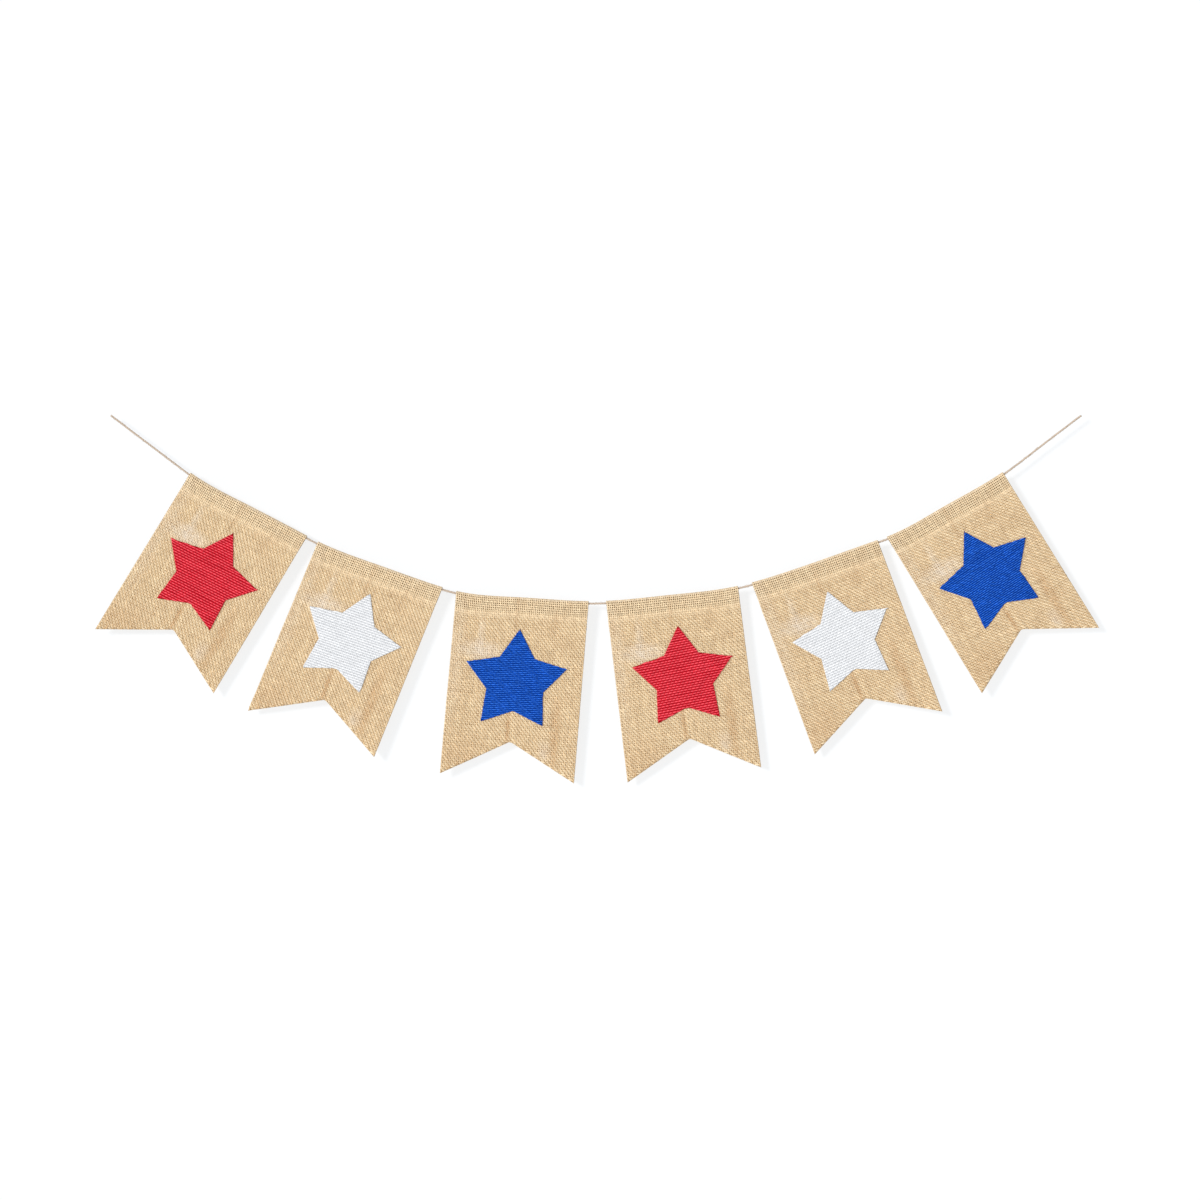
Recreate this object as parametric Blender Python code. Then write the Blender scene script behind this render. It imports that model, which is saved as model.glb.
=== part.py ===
"""Burlap star bunting: six swallowtail pennants threaded on one length of jute twine.

Each pennant is a single cut of burlap whose top is turned to the back over the twine and
sewn down, which makes the pocket that the twine runs through. A five-pointed star cut from
coloured cloth is bonded to each front. Units are metres. X runs along the span, -Y is the
front and Z is up. The origin is the middle of the straight line between the twine's ends.
"""

import math
from collections import namedtuple

import bmesh
import bpy
import numpy as np
from mathutils import Vector

GAP = 0.0003  # between pieces that touch

# Cloth
CLOTH = 0.0012  # thickness of one layer of burlap
STAR_CLOTH = 0.0010  # thickness of the star's cloth
TOP_WIDTH = 0.1295  # along the twine
FOOT_WIDTH = 0.1311  # between the two lower tips
DROP = 0.1786  # top edge to the lower tips
NOTCH = 0.0362  # depth of the swallowtail

# Twine
TWINE_RADIUS = 0.0010
TWINE_SIDES_RESOLUTION = 2  # Blender's bevel resolution: eight sides

# Pocket, measured down from the twine's axis
FOLD_INNER = TWINE_RADIUS + GAP
FOLD_OUTER = FOLD_INNER + CLOTH
SEAM_TOP = 0.0107  # the layers are sewn to each other from here ...
SEAM_END = 0.0137  # ... down to the cut end of the turned flap
POCKET_FOOT = 0.0003  # distance between the layers where the seam starts
HANG_CENTRED = 0.060  # below this the single layer hangs straight under the twine

# Stars
STAR_POINTS = 5
STAR_TIP = 0.0516  # centre to an outer point
STAR_WAIST = 0.0290  # centre to an inner corner

# Facets
COLUMNS = 10  # across a pennant, even so that one column ends in the notch's apex
ROWS = 9  # from the seam's end to the lower edge
FOLD_STEPS = 6  # round the half circle over the twine
KNOT_STEPS = 3  # straight pieces of twine between two points of its route
STAR_RINGS = 3  # from a star's centre to its outline
STAR_EDGE_STEPS = 2  # along each straight edge of a star's outline
SHARP_EDGE = math.radians(40)  # faces that meet at more than this aren't smoothed

# The twine's route as (x, z), from its left end to its right one. Under each pennant it has
# three points: the pocket's left mouth, middle and right mouth.
TWINE_ROUTE = (
    (-0.4731, 0.0000),
    (-0.4350, -0.0288),
    (-0.4040, -0.0522),
    (-0.3962, -0.0580), (-0.3401, -0.0895), (-0.2831, -0.1193),
    (-0.2718, -0.1251), (-0.2116, -0.1485), (-0.1505, -0.1696),
    (-0.1367, -0.1734), (-0.0720, -0.1798), (-0.0072, -0.1834),
    (0.0097, -0.1831), (0.0744, -0.1771), (0.1388, -0.1685),
    (0.1525, -0.1651), (0.2142, -0.1453), (0.2752, -0.1237),
    (0.2851, -0.1201), (0.3418, -0.0900), (0.3972, -0.0575),
    (0.4050, -0.0519),
    (0.4350, -0.0289),
    (0.4731, 0.0000),
)

# One row for each pennant, from the left. route_point is the number of the route's point in
# the middle of its pocket. lean is how far its sides swing from square to the top edge, in
# degrees. star_across and star_drop place the star's centre from the pennant's centreline
# and top edge, and star_turn turns it from the sides' direction, in degrees. The last three
# say how far the cloth stands to the back at its two tips and in the middle.
Pennant = namedtuple(
    "Pennant",
    "route_point lean star star_across star_drop star_turn left_tip right_tip belly",
)
PENNANTS = (
    Pennant(4, 2.6, "red", 0.0009, 0.0830, 0.6, -0.0016, 0.0010, 0.0006),
    Pennant(7, 2.1, "white", -0.0003, 0.0807, 2.2, 0.0012, -0.0014, -0.0005),
    Pennant(10, 0.5, "blue", 0.0001, 0.0830, 0.1, -0.0010, 0.0012, 0.0007),
    Pennant(13, -0.6, "red", 0.0014, 0.0826, 0.4, 0.0012, 0.0014, -0.0006),
    Pennant(16, -1.8, "white", 0.0006, 0.0825, 0.7, 0.0013, -0.0011, 0.0006),
    Pennant(19, -2.4, "blue", 0.0011, 0.0828, 1.2, -0.0012, 0.0015, -0.0005),
)

# Colours as a screen shows them, 0 to 255
BURLAP_COLOUR = (222, 196, 158)
TWINE_COLOUR = (196, 170, 146)
STAR_COLOURS = {
    "red": (212, 57, 69),
    "white": (235, 238, 245),
    "blue": (32, 82, 177),
}
CLOTH_ROUGHNESS = 0.95


class SmoothRoute:
    """A natural cubic spline through the route's points, in the plane of the span."""

    def __init__(self, points):
        self.points = np.array(points)
        self.spans = np.hypot(*np.diff(self.points, axis=0).T)
        self.along = np.concatenate([[0.0], np.cumsum(self.spans)])
        self.bends = self.solve_bends()

    def solve_bends(self):
        """The second derivatives at the points, which are zero at the two ends."""
        count = len(self.points)
        rows = np.eye(count)
        wanted = np.zeros((count, 2))
        for i in range(1, count - 1):
            before, after = self.spans[i - 1], self.spans[i]
            rows[i, i - 1 : i + 2] = before, 2 * (before + after), after
            rise = (self.points[i + 1] - self.points[i]) / after
            rise_before = (self.points[i] - self.points[i - 1]) / before
            wanted[i] = 6 * (rise - rise_before)
        return np.linalg.solve(rows, wanted)

    def at(self, distance):
        """The point (x, z) at this distance along the route."""
        last_span = len(self.spans) - 1
        i = min(int(np.searchsorted(self.along, distance, side="right")) - 1, last_span)
        span = self.spans[i]
        from_start = distance - self.along[i]
        to_end = span - from_start
        bend = self.bends[i] * to_end**3 + self.bends[i + 1] * from_start**3
        start = self.points[i] / span - self.bends[i] * span / 6
        end = self.points[i + 1] / span - self.bends[i + 1] * span / 6
        return bend / (6 * span) + start * to_end + end * from_start


class PennantCloth:
    """Places points of one pennant's cloth.

    across is 0 at the left side and 1 at the right one, down is the distance below the
    twine's axis along the cloth, and back is the distance behind the twine's axis.
    """

    def __init__(self, route, pennant):
        middle = route.along[pennant.route_point]
        self.route = route
        self.pennant = pennant
        self.first = middle - TOP_WIDTH / 2
        self.left = route.at(self.first)
        self.right = route.at(self.first + TOP_WIDTH)
        chord = self.right - self.left
        self.along = chord / np.hypot(*chord)
        self.down = np.array([self.along[1], -self.along[0]])
        self.to_tips = DROP - FOLD_OUTER

    def foot(self, across):
        """How far below the axis the lower edge lies, with the notch cut out."""
        from_side = 1 - abs(2 * across - 1)
        return self.to_tips - NOTCH * from_side

    def width_at(self, down):
        return TOP_WIDTH + (FOOT_WIDTH - TOP_WIDTH) * down / self.to_tips

    def swing(self, across, down):
        """How far the cloth's unevenness puts this place to the back."""
        share = max(down, 0.0) / self.to_tips
        side = 2 * across - 1
        tip = self.pennant.left_tip if side < 0 else self.pennant.right_tip
        belly = self.pennant.belly * math.sin(math.pi * min(share, 1.0)) * (1 - side**2)
        return share**2 * tip * side**2 + belly

    def place(self, across, down, back):
        """The top edge follows the twine's sag, and the lower edge is straight."""
        share = down / self.to_tips
        on_twine = self.route.at(self.first + across * TOP_WIDTH)
        on_chord = self.left + across * (self.right - self.left)
        top = (1 - share) * on_twine + share * on_chord
        lean = math.tan(math.radians(self.pennant.lean)) * down
        flare = (across - 0.5) * (self.width_at(down) - TOP_WIDTH)
        x, z = top + (flare - lean) * self.along + down * self.down
        return Vector((x, back + self.swing(across, down), z))


def layer_centre(down):
    """How far the front layer's middle lies behind the twine's axis, below the seam."""
    share = min((down - SEAM_END) / (HANG_CENTRED - SEAM_END), 1.0)
    return -CLOTH / 2 * (1 - share)


def single_layer(foot):
    """Front and back point, as (back, down), of each row from the lower edge up."""
    rows = []
    for row in range(ROWS + 1):
        down = foot + (SEAM_END - foot) * row / ROWS
        centre = layer_centre(down)
        rows.append(((centre - CLOTH / 2, down), (centre + CLOTH / 2, down)))
    return rows


def turned_top():
    """Outer and inner point of each place from the seam, over the twine, to the seam."""
    rows = [((-CLOTH - POCKET_FOOT / 2, SEAM_TOP), (-POCKET_FOOT / 2, SEAM_TOP))]
    for step in range(FOLD_STEPS + 1):
        angle = math.pi * step / FOLD_STEPS
        across, up = -math.cos(angle), -math.sin(angle)
        outer = (FOLD_OUTER * across, FOLD_OUTER * up)
        inner = (FOLD_INNER * across, FOLD_INNER * up)
        rows.append((outer, inner))
    rows.append(((CLOTH + POCKET_FOOT / 2, SEAM_TOP), (POCKET_FOOT / 2, SEAM_TOP)))
    return rows


def pennant_section(foot):
    """The section's points, as (back, down): each row's outer and inner point in turn."""
    flap_end = (CLOTH, SEAM_END)
    rows = single_layer(foot) + turned_top()
    return [point for row in rows for point in row] + [flap_end]


def section_cells():
    """The section as flat cells of its points' numbers, which close the cloth's sides."""
    rows = ROWS + 1 + len(turned_top())
    cells = [(2 * i, 2 * i + 2, 2 * i + 3, 2 * i + 1) for i in range(rows - 1)]
    seam_front = 2 * ROWS + 1
    pocket_front = seam_front + 2
    back_outer, pocket_back = 2 * rows - 2, 2 * rows - 1
    flap_end = 2 * rows
    cells.append((back_outer, flap_end, seam_front, pocket_back))
    cells.append((pocket_front, pocket_back, seam_front))
    return cells


def rim_edges(cells):
    """The cells' edges that no other cell shares, each in its own cell's direction."""
    edges = [(cell[i - 1], cell[i]) for cell in cells for i in range(len(cell))]
    return [edge for edge in edges if edge[::-1] not in edges]


def swept_solid(name, columns, cells):
    """One closed body: each column is the section again, and cells close both ends."""
    mesh = bmesh.new()
    points = [[mesh.verts.new(place) for place in column] for column in columns]
    for cell in cells:
        mesh.faces.new([points[0][i] for i in cell])
        mesh.faces.new([points[-1][i] for i in reversed(cell)])
    for first, second in zip(points, points[1:]):
        for start, end in rim_edges(cells):
            mesh.faces.new((first[end], first[start], second[start], second[end]))
    return finished(name, mesh)


def finished(name, mesh):
    """Turns a bmesh into an object whose faces point out."""
    bmesh.ops.recalc_face_normals(mesh, faces=mesh.faces)
    data = bpy.data.meshes.new(name)
    mesh.to_mesh(data)
    mesh.free()
    data.shade_smooth()
    data.set_sharp_from_angle(angle=SHARP_EDGE)
    solid = bpy.data.objects.new(name, data)
    bpy.context.collection.objects.link(solid)
    return solid


def make_pennant(name, cloth):
    columns = []
    for column in range(COLUMNS + 1):
        across = column / COLUMNS
        section = pennant_section(cloth.foot(across))
        columns.append([cloth.place(across, down, back) for back, down in section])
    return swept_solid(name, columns, section_cells())


def star_outline():
    """The star's outline as (right, up) from its centre, with points along each edge."""
    corners = []
    for corner in range(2 * STAR_POINTS):
        radius = STAR_WAIST if corner % 2 else STAR_TIP
        angle = math.pi * corner / STAR_POINTS
        corners.append(Vector((radius * math.sin(angle), radius * math.cos(angle))))
    outline = []
    for start, end in zip(corners, corners[1:] + corners[:1]):
        for step in range(STAR_EDGE_STEPS):
            outline.append(start.lerp(end, step / STAR_EDGE_STEPS))
    return outline


def star_place(cloth, right, up, behind_front):
    """A point of the star, which lies on the pennant's front and follows its swing."""
    pennant = cloth.pennant
    turn = math.radians(pennant.lean + pennant.star_turn)
    across_cloth = right * math.cos(turn) + up * math.sin(turn)
    up_cloth = up * math.cos(turn) - right * math.sin(turn)
    centre_down = pennant.star_drop - FOLD_OUTER
    down = centre_down - up_cloth
    lean = math.tan(math.radians(pennant.lean)) * (down - centre_down)
    across = 0.5 + (pennant.star_across + across_cloth + lean) / cloth.width_at(down)
    front = layer_centre(down) - CLOTH / 2
    return cloth.place(across, down, front + behind_front)


def make_star(name, cloth):
    """Rings of the outline, from the centre out, on the back and the front."""
    outline = star_outline()
    mesh = bmesh.new()
    sides = []
    for depth in (-GAP, -GAP - STAR_CLOTH):
        centre = mesh.verts.new(star_place(cloth, 0.0, 0.0, depth))
        rings = []
        for ring in range(1, STAR_RINGS + 1):
            share = ring / STAR_RINGS
            places = [star_place(cloth, *(point * share), depth) for point in outline]
            rings.append([mesh.verts.new(place) for place in places])
        sides.append((centre, rings))
    for centre, rings in sides:
        for i in range(len(outline)):
            mesh.faces.new((centre, rings[0][i - 1], rings[0][i]))
            for inner, outer in zip(rings, rings[1:]):
                mesh.faces.new((inner[i - 1], outer[i - 1], outer[i], inner[i]))
    back_rim, front_rim = sides[0][1][-1], sides[1][1][-1]
    for i in range(len(outline)):
        mesh.faces.new((back_rim[i - 1], front_rim[i - 1], front_rim[i], back_rim[i]))
    return finished(name, mesh)


def twine_points(route):
    """Points read from the smooth route, closer together where it bends."""
    points = []
    for start, span in zip(route.along, route.spans):
        points += [route.at(start + span * step / KNOT_STEPS) for step in range(KNOT_STEPS)]
    return points + [route.at(route.along[-1])]


def make_twine(route):
    curve = bpy.data.curves.new("twine", "CURVE")
    curve.dimensions = "3D"
    curve.bevel_depth = TWINE_RADIUS
    curve.bevel_resolution = TWINE_SIDES_RESOLUTION
    curve.use_fill_caps = True
    points = twine_points(route)
    spline = curve.splines.new("POLY")
    spline.points.add(len(points) - 1)
    for point, (x, z) in zip(spline.points, points):
        point.co = (x, 0.0, z, 1.0)
    twine = bpy.data.objects.new("twine", curve)
    bpy.context.collection.objects.link(twine)
    return twine


def linear(channel):
    """A screen's 0 to 255 as the linear value that a shader takes."""
    value = channel / 255
    return value / 12.92 if value <= 0.04045 else ((value + 0.055) / 1.055) ** 2.4


def fabric_material(name, colour):
    material = bpy.data.materials.new(name)
    material.use_nodes = True
    shader = material.node_tree.nodes["Principled BSDF"]
    shader.inputs["Base Color"].default_value = (*map(linear, colour), 1.0)
    shader.inputs["Roughness"].default_value = CLOTH_ROUGHNESS
    shader.inputs["Metallic"].default_value = 0.0
    return material


def clear_scene():
    for thing in list(bpy.data.objects):
        bpy.data.objects.remove(thing, do_unlink=True)


def main():
    clear_scene()
    route = SmoothRoute(TWINE_ROUTE)
    burlap = fabric_material("burlap", BURLAP_COLOUR)
    star_materials = {
        name: fabric_material(f"{name}_cloth", colour) for name, colour in STAR_COLOURS.items()
    }
    twine = make_twine(route)
    twine.data.materials.append(fabric_material("jute_twine", TWINE_COLOUR))
    for number, pennant in enumerate(PENNANTS, start=1):
        cloth = PennantCloth(route, pennant)
        make_pennant(f"pennant_{number}", cloth).data.materials.append(burlap)
        star = make_star(f"star_{number}", cloth)
        star.data.materials.append(star_materials[pennant.star])


main()
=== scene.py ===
"""Looks of the burlap star bunting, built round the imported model.

Each cloth is woven thread by thread. A loop lays the crossing threads in the flat cut, ends them
at its outline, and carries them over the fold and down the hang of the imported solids. Behind
the threads lies a thin sheet, the haze of fibres that closes a real weave's gaps. The twine is
laid up from three plies. Units are metres; -Y is the front and +Z is up.
"""

import math
from collections import namedtuple

import bpy
import numpy as np
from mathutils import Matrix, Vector


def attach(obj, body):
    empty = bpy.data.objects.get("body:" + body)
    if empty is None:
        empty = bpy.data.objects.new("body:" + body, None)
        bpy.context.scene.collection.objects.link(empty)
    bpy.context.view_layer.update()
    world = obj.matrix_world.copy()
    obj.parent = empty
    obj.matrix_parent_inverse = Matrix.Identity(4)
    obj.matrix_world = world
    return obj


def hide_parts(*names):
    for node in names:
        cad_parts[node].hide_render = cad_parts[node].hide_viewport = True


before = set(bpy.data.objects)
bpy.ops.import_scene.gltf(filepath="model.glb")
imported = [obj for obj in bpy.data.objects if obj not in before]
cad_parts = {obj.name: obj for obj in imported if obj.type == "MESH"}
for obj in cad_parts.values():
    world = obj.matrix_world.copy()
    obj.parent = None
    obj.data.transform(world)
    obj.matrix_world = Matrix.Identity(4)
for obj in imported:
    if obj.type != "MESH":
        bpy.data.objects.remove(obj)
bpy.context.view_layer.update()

MM = 0.001
SEED = 5

# The cloth's cut and the pocket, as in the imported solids
GAP = 0.0003
CLOTH = 0.0012
STAR_CLOTH = 0.0010
TOP_WIDTH = 0.1295
FOOT_WIDTH = 0.1311
DROP = 0.1786
NOTCH = 0.0362
TWINE_RADIUS = 0.0010
FOLD_INNER = TWINE_RADIUS + GAP
FOLD_OUTER = FOLD_INNER + CLOTH
FOLD_MIDDLE = (FOLD_INNER + FOLD_OUTER) / 2
SEAM_TOP = 0.0107
SEAM_END = 0.0137
POCKET_FOOT = 0.0003
HANG_CENTRED = 0.060
TO_TIPS = DROP - FOLD_OUTER
FOLD_START = -math.pi * FOLD_MIDDLE  # where the fold begins behind, along the cloth
FOLD_POINTS = 25  # on the fold's half circle
FLAP_END = FOLD_START - SEAM_END  # the turned flap's cut end
STAR_POINTS = 5
STAR_TIP = 0.0516
STAR_WAIST = 0.0290

# The twine's route as (x, z), three points under each pennant
TWINE_ROUTE = (
    (-0.4731, 0.0000),
    (-0.4350, -0.0288),
    (-0.4040, -0.0522),
    (-0.3962, -0.0580), (-0.3401, -0.0895), (-0.2831, -0.1193),
    (-0.2718, -0.1251), (-0.2116, -0.1485), (-0.1505, -0.1696),
    (-0.1367, -0.1734), (-0.0720, -0.1798), (-0.0072, -0.1834),
    (0.0097, -0.1831), (0.0744, -0.1771), (0.1388, -0.1685),
    (0.1525, -0.1651), (0.2142, -0.1453), (0.2752, -0.1237),
    (0.2851, -0.1201), (0.3418, -0.0900), (0.3972, -0.0575),
    (0.4050, -0.0519),
    (0.4350, -0.0289),
    (0.4731, 0.0000),
)

# One row for each pennant, from the left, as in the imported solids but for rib_turn. route_point
# is the route's point at its middle. lean, star_turn and rib_turn are in degrees, and the last is
# how far the star's ribs turn from the pennant's top edge. star_across and star_drop place the
# star's centre. left_tip, right_tip and belly are how far these stand back from the span's plane.
Pennant = namedtuple(
    "Pennant",
    "route_point lean star star_across star_drop star_turn left_tip right_tip belly rib_turn",
)
PENNANTS = (
    Pennant(4, 2.6, "red", 0.0009, 0.0830, 0.6, -0.0016, 0.0010, 0.0006, -1.0),
    Pennant(7, 2.1, "white", -0.0003, 0.0807, 2.2, 0.0012, -0.0014, -0.0005, -1.0),
    Pennant(10, 0.5, "blue", 0.0001, 0.0830, 0.1, -0.0010, 0.0012, 0.0007, -1.0),
    Pennant(13, -0.6, "red", 0.0014, 0.0826, 0.4, 0.0012, 0.0014, -0.0006, -5.0),
    Pennant(16, -1.8, "white", 0.0006, 0.0825, 0.7, 0.0013, -0.0011, 0.0006, -6.0),
    Pennant(19, -2.4, "blue", 0.0011, 0.0828, 1.2, -0.0012, 0.0015, -0.0005, -3.5),
)

# Weaves. pitch is from thread to thread, wide and high are a thread's section, and wave is how
# far its middle swings from the cloth's. lean is how far its section slants, along the thread for
# each step across it. swell is how much wider it is on its crests, and narrower where it dips.
# uneven is the spread of spacing, as a share of pitch, and slubs that of thickness. sides are
# those of its section, and steps are its steps from one crossing to the next.
Thread = namedtuple("Thread", "pitch wide high wave lean swell uneven slubs sides steps")
BURLAP_WARP = Thread(1.866 * MM, 1.44 * MM, 0.74 * MM, 0.34 * MM, 1.1, 0.10, 0.04, 0.10, 4, 1)
BURLAP_WEFT = Thread(2.212 * MM, 1.64 * MM, 0.70 * MM, 0.30 * MM, 1.1, 0.12, 0.025, 0.11, 4, 1)
LONG_RIB = Thread(2.370 * MM, 2.02 * MM, 0.70 * MM, 0.10 * MM, -1.0, 0.0, 0.02, 0.06, 6, 2)
LONG_RIB_WARP = Thread(1.900 * MM, 1.15 * MM, 0.30 * MM, 0.30 * MM, -0.9, 0.0, 0.03, 0.06, 4, 1)
SHORT_RIB = Thread(1.880 * MM, 1.58 * MM, 0.70 * MM, 0.12 * MM, 1.6, 0.0, 0.02, 0.07, 6, 2)
SHORT_RIB_WARP = Thread(2.350 * MM, 1.20 * MM, 0.30 * MM, 0.30 * MM, 1.8, 0.0, 0.03, 0.06, 4, 1)
HEM_FULLNESS = (0.67, 0.65)  # how wide warp and weft are in the hem, as shares of it below
GAPS_FADE = 2 * MM  # how far below the hem its wider gaps end
HEM_UNEVEN = 0.4  # how uneven the weave is in the hem, as a share of what it is below
HEM_FADE = 7 * MM  # how far below the hem its evener look ends
STAR_WEAVES = {
    "red": (LONG_RIB_WARP, LONG_RIB),
    "white": (LONG_RIB_WARP, LONG_RIB),
    "blue": (SHORT_RIB_WARP, SHORT_RIB),
}
SPACING_LIMIT = 2  # the furthest that a thread lies from its even place, in spreads
WANDER = 1.5  # how far threads wander along their way, in spreads of their spacing
WANDER_REACH = 6  # how many crossings a bend of theirs takes
SLUB_REACH = 4  # how many crossings a slub takes
THREAD_SPREAD = 0.6  # how much whole threads differ, in spreads of their slubs
SLUB_LIMITS = (0.62, 1.5)  # the least and most that a slub makes of the thickness
FRAY = 0.15 * MM  # how far a cut thread's end may reach past the outline
FRAY_SHORT = 0.4  # how much of that it may fall short of it
END_SIZE = 0.9  # how thick a cut end is, as a share of the thread
CUT_CLEAR = 0.3  # from the outline to the nearest crossing that counts, as a share of pitch
STEEPEST_CUT = 3.0  # the most that a thread's end slants, along it for each step across

# The haze. A pennant's sheet has rows in the flap, round the fold and down the front.
HAZE_COLUMNS = 24
FLAP_ROWS = 3
FOLD_ROWS = 8
FRONT_ROWS = 26
STAR_RINGS = 3
STAR_INSET = 0.25 * MM  # from the star's cut edge to its haze

# Sewing of the pocket: one line of matching stitches through both layers
STITCH = 2.7 * MM
STITCH_PITCH = 3.3 * MM
STITCH_THICK = 0.42 * MM
STITCH_SIDES = 4
STITCH_START = 1.5 * MM  # from the pennant's left side to the first stitch
STITCH_LINE = 0.0122  # below the twine's axis
STITCH_STEPS = (0.0, 0.12, 0.5, 0.88, 1.0)  # places along a stitch, as shares of it
STITCH_RISE = (-0.25, 0.75, 1.0, 0.75, -0.25)  # how high it stands there, as shares of its crest

# Twine
PLIES = 3
PLY_RADIUS = 0.60 * MM
PLY_OFFSET = 0.52 * MM  # from the twine's middle to the ply's
PLY_FLATNESS = 0.9  # how high a ply is, as a share of its width
PLY_TURN = 8.5 * MM  # length of one turn
PLY_STEP = 0.9 * MM
PLY_SIDES = 5

# Loose fibres. Ranges of length and rise are in millimetres.
LINT_SIDES = 3
LINT_EACH_PENNANT = 150
LINT_THICK = 0.055 * MM
LINT_LENGTH = (2.0, 5.5)
LINT_ROOT = 0.6  # millimetres from the cloth's middle to where a fibre starts
LINT_RISE = (0.1, 1.0)
LINT_ARCH = 0.8  # how much of a whole arch a fibre makes
LINT_STEPS = 4
LINT_CURL = 1.2  # the most that its heading turns on the way
LINT_AT_EDGES = 0.35  # the share of fibres at the cut edges
LINT_IN_FRONT = 0.7  # the share of fibres on the front
LINT_PAST_SIDE = 2 * MM  # the most that a fibre reaches past the cloth's sides
TWINE_LINT = 3600
TWINE_LINT_THICK = 0.075 * MM
TWINE_LINT_LENGTH = (1.5, 4.0)
TWINE_LINT_STEPS = 3
TWINE_LINT_ROOT = 0.8 * MM  # how far from the twine's middle a fibre starts
TWINE_LINT_LIFT = 1.3 * MM  # the most that it rises from there

# Colours, as a screen shows them
WARP_STRAW = (216, 183, 137)
WEFT_STRAW = (249, 225, 187)
PALE = (253, 242, 226)
RUST = (206, 160, 112)
STITCH_COLOUR = (222, 202, 166)
FIBRE_COLOUR = (232, 212, 176)
TWINE_COLOUR = (216, 198, 180)
# Each star's first colour is painted shade in the grooves, and its last a painted highlight on the
# ribs' crests
STAR_COLOURS = {  # of the grooves, the ribs and their crests
    "red": ((168, 0, 22), (224, 42, 58), (250, 100, 112)),
    "white": ((214, 216, 219), (233, 234, 236), (248, 248, 249)),
    "blue": ((0, 48, 136), (3, 71, 181), (60, 122, 222)),
}
STAR_STREAKS = {"red": 0.20, "white": 0.09, "blue": 0.38}  # how much their lightness varies

# Lightness of fibres: the darkest, the lightest and the spread from thread to thread
BURLAP_FIBRES = (0.90, 1.06, 0.04)
STAR_FIBRES = (0.92, 1.05, 0.03)
TWINE_FIBRES = (0.86, 1.10, 0.04)
FINE_FIBRES = (0.92, 1.05, 0.04)  # in sewing thread and loose fibres

# Lightness of the burlap and the haze, each from its darkest to its lightest place
MOTTLED_LIGHT = (0.70, 1.16)
CLOUD_LIGHT = (0.98, 1.04)
HAZE_LIGHT = (0.80, 1.12)
STAR_HAZE_LIGHT = (0.9, 1.1)
# Painted shade: how light a thread is where it dips under another, below the hem
DIP_SHADE = 0.65  # where a thread dips under another, below the hem
HEM_LIGHT = 1.03
CLOUD_RUST = 0.20  # how rusty the darkest clouds are
WARP_IN_DIPS = 0.3  # how much of its own colour the warp keeps where it dips
CREST_RISE = (0.0, 0.8)  # the rise over which a thread comes up to its crest

# Shares of the way from the middle of a star's rib to its side, for its painted shade and highlight
GROOVE_SHADE = 0.45  # where the groove begins
CREST = (0.1, 0.6)  # where the crest begins to fade, and where it ends

# The haze's colour by depth below the fold's top: dark between the hem's two layers, pale where
# the pocket ends and plain below it
HAZE_BY_DEPTH = (
    # Painted shade: the dark colours in the hem stand in for the shade of the layer behind
    (0.0, (106, 82, 42)),
    (14.5 * MM, (106, 82, 42)),
    (17.0 * MM, (192, 160, 112)),
    (22.0 * MM, (184, 148, 100)),
    (32.0 * MM, (172, 128, 76)),
    (60.0 * MM, (164, 118, 66)),
)

# Paler and rustier places in the cloth: their middles from the pennant's top left corner, how
# far they reach each way, and how strong they are
BLOTCH_FADE = (0.35, 1.35)  # where they begin to fade and where they end, in reaches
Blotch = namedtuple("Blotch", "across down half_width half_height colour share")
BLOTCHES = (
    Blotch(29 * MM, 54 * MM, 19 * MM, 9 * MM, PALE, 0.70),
    Blotch(28 * MM, 42 * MM, 4 * MM, 20 * MM, PALE, 0.40),
    Blotch(65 * MM, 1 * MM, 90 * MM, 2 * MM, PALE, 0.35),
    Blotch(5 * MM, 60 * MM, 8 * MM, 70 * MM, PALE, 0.22),
    Blotch(98 * MM, 150 * MM, 6 * MM, 10 * MM, PALE, 0.45),
    Blotch(61 * MM, 130 * MM, 2 * MM, 24 * MM, RUST, 0.75),
    Blotch(61 * MM, 12 * MM, 2 * MM, 28 * MM, RUST, 0.35),
    Blotch(107 * MM, 130 * MM, 5 * MM, 38 * MM, RUST, 0.52),
    Blotch(18 * MM, 158 * MM, 22 * MM, 22 * MM, RUST, 0.25),
    Blotch(100 * MM, 25 * MM, 14 * MM, 16 * MM, RUST, 0.15),
)

# Camera. The photo is square, and VIEW_WIDTH is what it shows of the plane of the span.
VIEW_WIDTH = 1.170
VIEW_X = 0.0038
VIEW_Z = -0.1799
LENS = 135.0  # this and the sensor are in millimetres
SENSOR = 36.0
VIEW_DEPTH = 50.0

# Backdrop and light
WALL_Y = 0.0125
WALL_TOP = 4.0
WALL_BEND = 0.35  # the radius of the bend from wall to floor
BEND_POINTS = 13
FLOOR_Z = -1.05
FLOOR_REACH = 6.0  # forward, and to each side
SHADOW_RIGHT = 0.0100  # how far a shadow on the wall lies from what casts it
SHADOW_DOWN = 0.0046
KEY_STRENGTH = 2.0
KEY_SPREAD = math.radians(13)
SKY_STRENGTH = 0.50
SKY_SEEN = 0.95  # the sky as the camera sees it, past the wall
WALL_GLOW = 0.743
WALL_GLOW_COLOUR = (0.986, 0.998, 1.006, 1.0)
WALL_COLOUR = (0.244, 0.250, 0.260, 1.0)


# --- Where the cloth lies ---


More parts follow.
